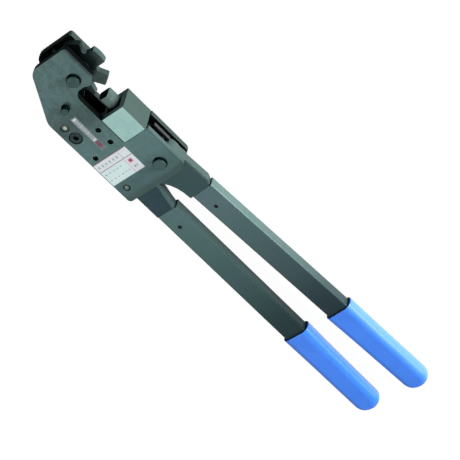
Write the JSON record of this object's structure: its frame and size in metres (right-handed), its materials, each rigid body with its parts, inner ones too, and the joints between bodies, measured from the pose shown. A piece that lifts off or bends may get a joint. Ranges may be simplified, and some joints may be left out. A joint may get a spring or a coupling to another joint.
{
  "type": "crimping tool",
  "caption": "Long-handled mechanical crimping tool with a rotating turret die, a punch on a ram driven by the moving handle, and dipped grips.",
  "frame": {"origin": "bottom centre of the whole tool's box, on the plane of the rear plate it lies on", "axes": "+X towards the open side of the jaw, +Y along the handles towards the head, +Z out of the front plate"},
  "size_m": [0.1108, 0.622, 0.0454],
  "materials": {
    "plate_steel": "phosphated, satin",
    "lever_steel": "phosphated, satin",
    "tube_steel": "blackened tube, satin",
    "ground_steel": "ground, satin nickel",
    "die_steel": "hardened and blacked",
    "ram_steel": "ground",
    "pin_steel": "turned",
    "bright_steel": "bright turned",
    "black_screw": "black oxide",
    "spring_steel": "drawn wire",
    "bronze": "sintered bronze",
    "grip_vinyl": "moulded vinyl, satin",
    "label": "printed film",
    "name_strip": "printed film"
  },
  "bodies": {
    "root": {"front_plate": "plate_steel", "rear_plate": "plate_steel", "spine_spacer": "plate_steel", "turret_pin": "pin_steel", "index_spring": "spring_steel", "guide_block": "ground_steel", "pawl_pin": "bright_steel", "pawl_spring": "spring_steel", "pivot_spacer": "bright_steel", "main_pivot_pin": "pin_steel", "fixed_lever": "lever_steel", "fixed_lever_shim": "bright_steel", "fixed_tube": "tube_steel", "fixed_tube_pin": "pin_steel", "fixed_grip": "grip_vinyl", "spine_rivet": "bright_steel", "frame_screw": "black_screw", "block_screw_upper_front": "black_screw", "block_screw_lower_front": "black_screw", "spine_screw_front": "black_screw", "block_screw_upper_rear": "black_screw", "block_screw_lower_rear": "black_screw", "spine_screw_rear": "black_screw", "lever_rivet": "bright_steel", "lever_rivet_upper": "bright_steel", "rating_label": "label", "name_strip": "name_strip"},
    "moving_handle": {"moving_lever": "lever_steel", "pivot_bush": "bronze", "moving_tube": "tube_steel", "moving_tube_pin": "pin_steel", "moving_grip": "grip_vinyl"},
    "ram": {"ram": "ram_steel", "ram_return_spring": "spring_steel"},
    "punch": {"punch": "ram_steel"},
    "turret": {"turret_die": "die_steel", "turret_bush": "bronze"},
    "pawl": {"holding_pawl": "pin_steel"},
    "button": {"index_button": "pin_steel"}
  },
  "joints": [
    {"name": "handle_swing", "type": "hinge", "parent": "root", "child": "moving_handle", "pos_m": [0.01182, 0.1356, 0.0211], "axis": [0, 0, 1], "range_deg": [-4, 50]},
    {"name": "ram_slide", "type": "slide", "parent": "root", "child": "ram", "axis": [0, 1, 0], "range_m": [-0.008, 0.0008]},
    {"name": "punch_feed", "type": "slide", "parent": "ram", "child": "punch", "axis": [0, 1, 0], "range_m": [0, 0.0036]},
    {"name": "turret_spin", "type": "hinge", "parent": "root", "child": "turret", "pos_m": [0.01062, 0.275, 0.0203], "axis": [0, 0, 1], "continuous": true},
    {"name": "pawl_tilt", "type": "hinge", "parent": "root", "child": "pawl", "pos_m": [0.02842, 0.1538, 0.0178], "axis": [0, 0, 1], "range_deg": [-4, 0], "stiffness_Nm_per_rad": 0.1},
    {"name": "button_press", "type": "slide", "parent": "root", "child": "button", "axis": [0, 0, 1], "range_m": [-0.002, 0], "stiffness_N_per_m": 800, "deforming": ["index_spring"]}
  ],
  "couplings": [
    {"joint": "ram_slide", "follows": "handle_swing", "m_per_rad": -0.009}
  ]
}
